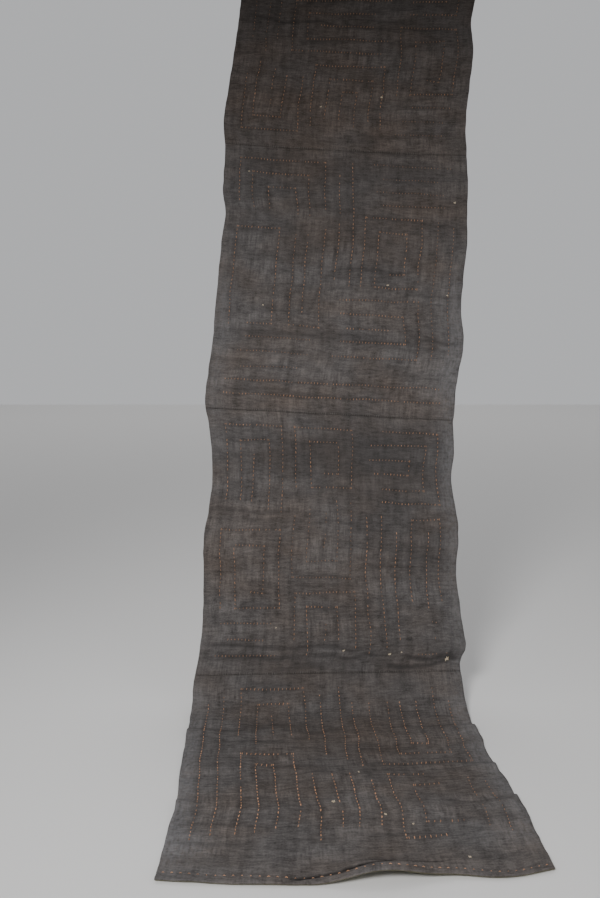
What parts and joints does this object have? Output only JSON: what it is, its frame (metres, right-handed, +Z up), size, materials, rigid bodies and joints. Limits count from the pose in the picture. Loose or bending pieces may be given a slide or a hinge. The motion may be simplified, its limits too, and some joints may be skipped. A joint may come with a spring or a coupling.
{
  "type": "kuba cloth",
  "caption": "Long woven raffia wrapper cloth of panels sewn end to end, hung by its top edge, with its hemmed foot bent forward along a floor.",
  "frame": {"origin": "on the floor that the foot lies on, under the middle of the cloth's bounding box", "axes": "+Z up towards the hung top edge, -Y out of the cloth's front face, along which the foot runs, +X to the right seen from the front"},
  "size_m": [0.728, 1.0362, 1.9852],
  "materials": {
    "raffia_brown": "matte woven raffia, dark brown grey",
    "raffia_grey": "matte woven raffia, charcoal grey",
    "stitch_thread": "dull orange tan raffia thread",
    "knot_thread": "cream raffia thread ends"
  },
  "bodies": {
    "root": {"panel_top": "raffia_brown", "panel_upper": "raffia_grey", "panel_lower": "raffia_grey", "panel_foot": "raffia_grey"}
  },
  "joints": []
}
